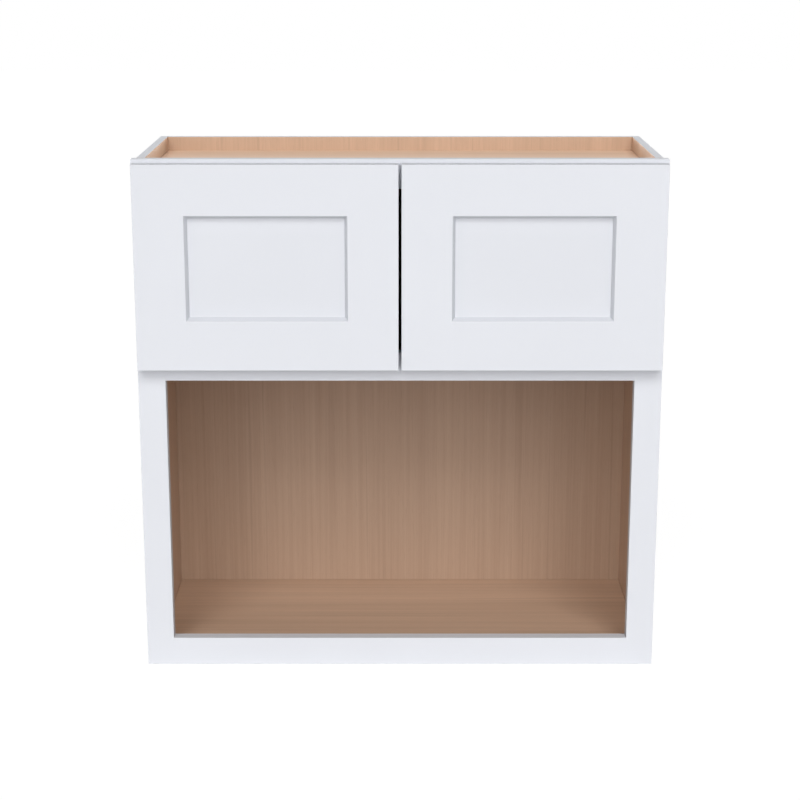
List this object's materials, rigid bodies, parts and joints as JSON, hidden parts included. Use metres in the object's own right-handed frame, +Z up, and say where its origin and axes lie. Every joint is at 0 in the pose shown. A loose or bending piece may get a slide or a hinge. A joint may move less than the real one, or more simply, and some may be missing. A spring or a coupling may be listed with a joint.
{
  "type": "microwave wall cabinet",
  "caption": "Framed wall cabinet with an open microwave bay below and a cupboard above it behind a pair of recessed-panel doors on concealed hinges.",
  "frame": {"origin": "centre of the object's box, on the level of its lowest edge", "axes": "+X to the right of someone facing the doors, +Y towards the wall behind, +Z up"},
  "size_m": [0.762, 0.3258, 0.762],
  "materials": {
    "white_paint": "smooth satin white paint",
    "natural_veneer": "clear-coated maple veneer plywood",
    "nickel_plate": "nickel-plated steel",
    "clear_bumper": "soft translucent plastic"
  },
  "bodies": {
    "carcass": {"frame_left_stile": "white_paint", "frame_right_stile": "white_paint", "frame_top_rail": "white_paint", "frame_mid_rail": "white_paint", "frame_bottom_rail": "white_paint", "left_side": "natural_veneer", "right_side": "natural_veneer", "top_panel": "natural_veneer", "cupboard_deck": "natural_veneer", "bay_floor": "natural_veneer", "back_panel": "natural_veneer", "left_upper_hinge_base": "nickel_plate", "left_upper_base_screw_top": "nickel_plate", "left_upper_base_screw_bottom": "nickel_plate", "left_lower_hinge_base": "nickel_plate", "left_lower_base_screw_top": "nickel_plate", "left_lower_base_screw_bottom": "nickel_plate", "right_upper_hinge_base": "nickel_plate", "right_upper_base_screw_top": "nickel_plate", "right_upper_base_screw_bottom": "nickel_plate", "right_lower_hinge_base": "nickel_plate", "right_lower_base_screw_top": "nickel_plate", "right_lower_base_screw_bottom": "nickel_plate"},
    "left_levers": {"left_upper_hinge_lever": "nickel_plate", "left_lower_hinge_lever": "nickel_plate"},
    "left_door": {"left_door_hinge_stile": "white_paint", "left_door_meeting_stile": "white_paint", "left_door_top_rail": "white_paint", "left_door_bottom_rail": "white_paint", "left_door_panel": "white_paint", "left_upper_bumper": "clear_bumper", "left_lower_bumper": "clear_bumper", "left_upper_hinge_cup": "nickel_plate", "left_upper_cup_screw_top": "nickel_plate", "left_upper_cup_screw_bottom": "nickel_plate", "left_lower_hinge_cup": "nickel_plate", "left_lower_cup_screw_top": "nickel_plate", "left_lower_cup_screw_bottom": "nickel_plate"},
    "right_levers": {"right_upper_hinge_lever": "nickel_plate", "right_lower_hinge_lever": "nickel_plate"},
    "right_door": {"right_door_hinge_stile": "white_paint", "right_door_meeting_stile": "white_paint", "right_door_top_rail": "white_paint", "right_door_bottom_rail": "white_paint", "right_door_panel": "white_paint", "right_upper_bumper": "clear_bumper", "right_lower_bumper": "clear_bumper", "right_upper_hinge_cup": "nickel_plate", "right_upper_cup_screw_top": "nickel_plate", "right_upper_cup_screw_bottom": "nickel_plate", "right_lower_hinge_cup": "nickel_plate", "right_lower_cup_screw_top": "nickel_plate", "right_lower_cup_screw_bottom": "nickel_plate"}
  },
  "joints": [
    {"name": "left_lever_swing", "type": "hinge", "parent": "carcass", "child": "left_levers", "pos_m": [-0.3451, -0.1471, 0.6089], "axis": [0, 0, 1], "range_deg": [0, 30]},
    {"name": "left_door_swing", "type": "hinge", "parent": "left_levers", "child": "left_door", "pos_m": [-0.3679, -0.1484, 0.6089], "axis": [0, 0, -1], "range_deg": [0, 130]},
    {"name": "right_lever_swing", "type": "hinge", "parent": "carcass", "child": "right_levers", "pos_m": [0.3451, -0.1471, 0.6089], "axis": [0, 0, -1], "range_deg": [0, 30]},
    {"name": "right_door_swing", "type": "hinge", "parent": "right_levers", "child": "right_door", "pos_m": [0.3679, -0.1484, 0.6089], "axis": [0, 0, 1], "range_deg": [0, 130]}
  ],
  "couplings": [
    {"joint": "left_lever_swing", "follows": "left_door_swing", "ratio": 0.23},
    {"joint": "right_lever_swing", "follows": "right_door_swing", "ratio": 0.23}
  ]
}
